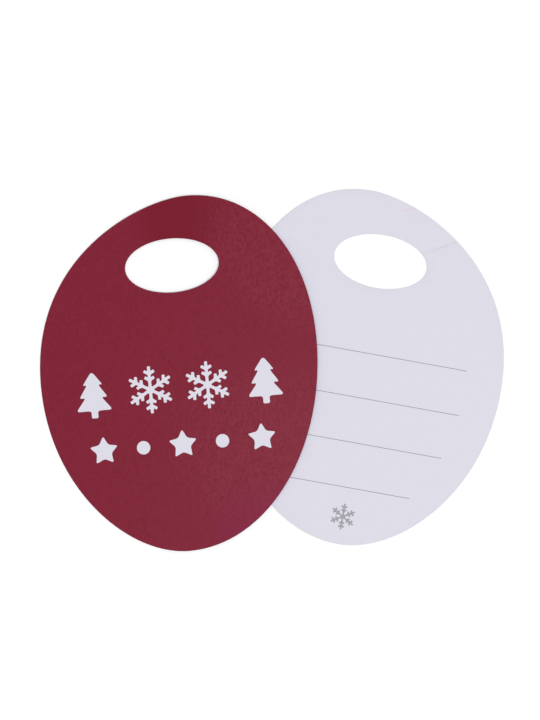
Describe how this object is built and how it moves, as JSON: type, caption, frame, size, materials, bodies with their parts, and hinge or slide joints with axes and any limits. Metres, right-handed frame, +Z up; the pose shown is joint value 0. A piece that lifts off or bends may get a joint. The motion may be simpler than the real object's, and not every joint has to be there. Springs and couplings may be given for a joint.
{
  "type": "gift message cards",
  "caption": "Egg-shaped die-cut gift message cards laid fanned, printed side and writing side up, with oval hang holes and slits whose springy lips open for a ribbon.",
  "frame": {"origin": "on the table, under the middle of the fanned pair's box", "axes": "+X along the fan from the face-up card to the face-down card, +Y towards the hang holes, +Z up from the table"},
  "size_m": [0.118, 0.092, 0.0017],
  "materials": {
    "white_board": "smooth uncoated white paperboard, matt, with plain die-cut edges",
    "burgundy_print": "solid burgundy offset print on board, satin, with fine fibre showing through",
    "grey_ink": "thin grey printed line, matt"
  },
  "bodies": {
    "face_down_card": {"face_down_board": "white_board", "face_down_front_print": "burgundy_print", "face_down_rule_1": "grey_ink", "face_down_rule_2": "grey_ink", "face_down_rule_3": "grey_ink", "face_down_rule_4": "grey_ink", "face_down_imprint": "grey_ink"},
    "face_down_upper_lip": {"face_down_upper_lip": "white_board", "face_down_upper_lip_print": "burgundy_print"},
    "face_down_lower_lip": {"face_down_lower_lip": "white_board", "face_down_lower_lip_print": "burgundy_print"},
    "face_up_card": {"face_up_board": "white_board", "face_up_front_print": "burgundy_print", "face_up_rule_1": "grey_ink", "face_up_rule_2": "grey_ink", "face_up_rule_3": "grey_ink", "face_up_rule_4": "grey_ink", "face_up_imprint": "grey_ink"},
    "face_up_upper_lip": {"face_up_upper_lip": "white_board", "face_up_upper_lip_print": "burgundy_print"},
    "face_up_lower_lip": {"face_up_lower_lip": "white_board", "face_up_lower_lip_print": "burgundy_print"}
  },
  "joints": [
    {"name": "face_up_lift", "type": "slide", "parent": "face_down_card", "child": "face_up_card", "axis": [0, 0, 1], "range_m": [0, 0.04]},
    {"name": "face_up_upper_lip_flex", "type": "hinge", "parent": "face_up_card", "child": "face_up_upper_lip", "pos_m": [-0.02542, 0.02659, 0.0008], "axis": [-0.0889, 0.996, -0.0016], "range_deg": [0, 40], "stiffness_Nm_per_rad": 0.01},
    {"name": "face_up_lower_lip_flex", "type": "hinge", "parent": "face_up_card", "child": "face_up_lower_lip", "pos_m": [-0.02542, 0.02659, 0.0008], "axis": [0.9959, 0.0889, 0.0177], "range_deg": [0, 25], "stiffness_Nm_per_rad": 0.03},
    {"name": "face_down_upper_lip_flex", "type": "hinge", "parent": "face_down_card", "child": "face_down_upper_lip", "pos_m": [0.02765, 0.0276, 0.00027], "axis": [-0.1771, -0.9842, 0], "range_deg": [0, 40], "stiffness_Nm_per_rad": 0.01},
    {"name": "face_down_lower_lip_flex", "type": "hinge", "parent": "face_down_card", "child": "face_down_lower_lip", "pos_m": [0.02765, 0.0276, 0.00027], "axis": [0.9842, -0.1771, 0], "range_deg": [0, 25], "stiffness_Nm_per_rad": 0.03}
  ]
}
